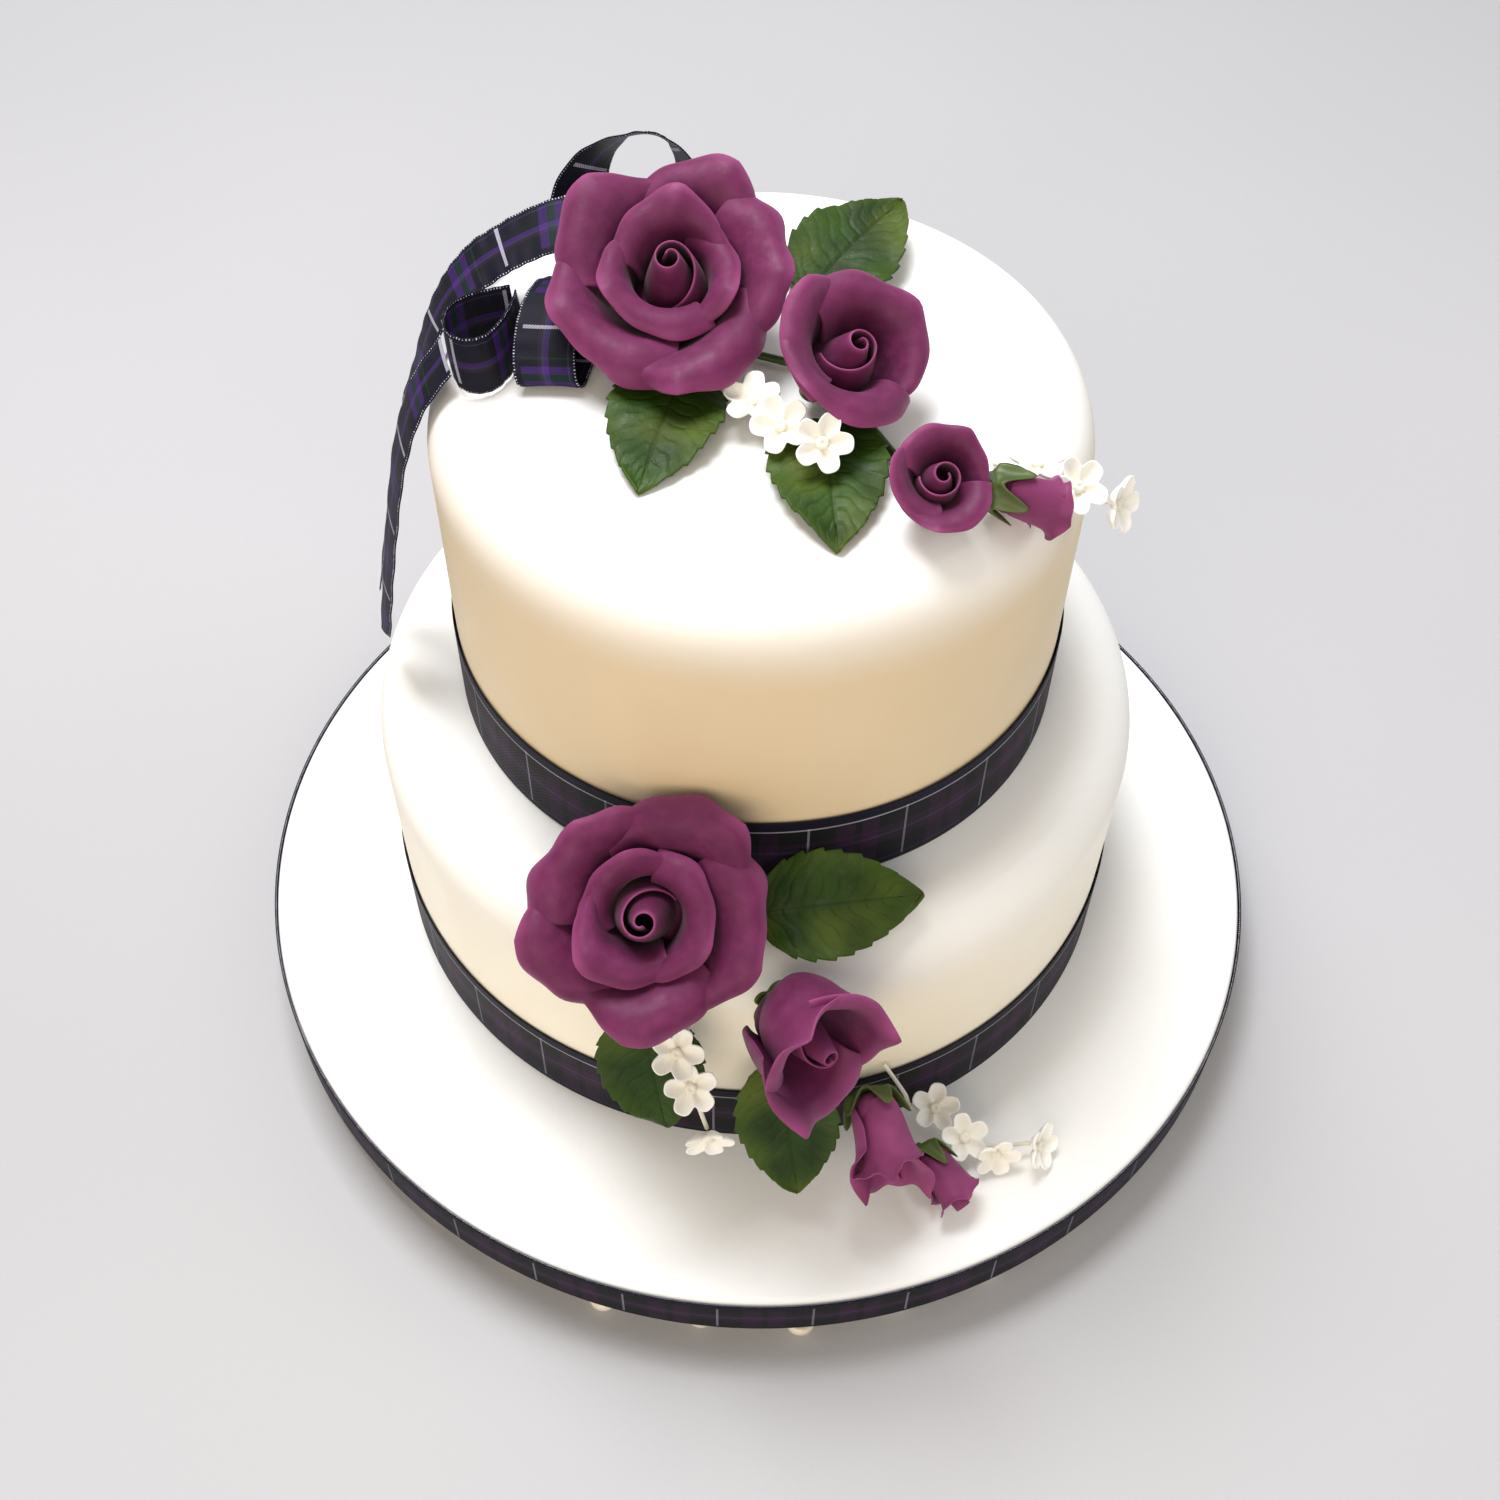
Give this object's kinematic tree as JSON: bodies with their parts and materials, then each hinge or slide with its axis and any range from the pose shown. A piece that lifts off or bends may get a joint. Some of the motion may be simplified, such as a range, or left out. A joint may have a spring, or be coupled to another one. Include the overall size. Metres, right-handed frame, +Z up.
{
  "type": "tiered wedding cake",
  "caption": "Tiered iced wedding cake on a ribboned board and low lobed stand, dressed with sugar roses, buds, leaves, small white blossoms and a tartan bow.",
  "frame": {"origin": "middle of the cake board, on the plane that the stand rests on", "axes": "+Z up, -Y towards the front, where the lower spray of roses hangs over the edge, +X to the right"},
  "size_m": [0.305, 0.3066, 0.2511],
  "materials": {
    "icing": "smooth satin rolled icing",
    "board_icing": "smooth satin rolled icing",
    "board": "matt board",
    "stand": "glazed white",
    "tartan": "woven tartan ribbon",
    "petal": "matt sugar paste",
    "leaf": "satin sugar paste",
    "calyx": "satin sugar paste",
    "blossom": "matt sugar paste",
    "wire": "paper-covered wire"
  },
  "bodies": {
    "root": {"stand": "stand", "board_drum": "board", "board_icing": "board_icing", "board_ribbon": "tartan", "tier_lower": "icing", "tier_lower_ribbon": "tartan", "tier_upper": "icing", "tier_upper_ribbon": "tartan", "top_rose_large": "petal", "top_rose_medium": "petal", "top_rose_small": "petal", "top_bud": "petal", "top_rose_medium_calyx": "calyx", "top_rose_small_calyx": "calyx", "top_bud_calyx": "calyx", "top_leaf_back": "leaf", "top_leaf_left": "leaf", "top_leaf_front": "leaf", "top_twig_left": "calyx", "top_twig_right": "calyx", "top_left_blossom_1": "blossom", "top_left_blossom_2": "blossom", "top_left_blossom_3": "blossom", "top_left_wire": "wire", "top_right_blossom_1": "blossom", "top_right_blossom_2": "blossom", "top_right_blossom_3": "blossom", "top_right_wire": "wire", "bow_knot": "tartan", "bow_loop_front": "tartan", "bow_loop_left": "tartan", "bow_loop_back": "tartan", "bow_tail_long": "tartan", "bow_tail_short": "tartan", "low_rose_large": "petal", "low_rose_medium": "petal", "low_bud_upper": "petal", "low_bud_lower": "petal", "low_rose_medium_calyx": "calyx", "low_bud_upper_calyx": "calyx", "low_bud_lower_calyx": "calyx", "low_leaf_right": "leaf", "low_leaf_left": "leaf", "low_leaf_front": "leaf", "low_left_blossom_1": "blossom", "low_left_blossom_2": "blossom", "low_left_blossom_3": "blossom", "low_left_wire": "wire", "low_right_blossom_1": "blossom", "low_right_blossom_2": "blossom", "low_right_blossom_3": "blossom", "low_right_blossom_4": "blossom", "low_right_wire": "wire"}
  },
  "joints": []
}
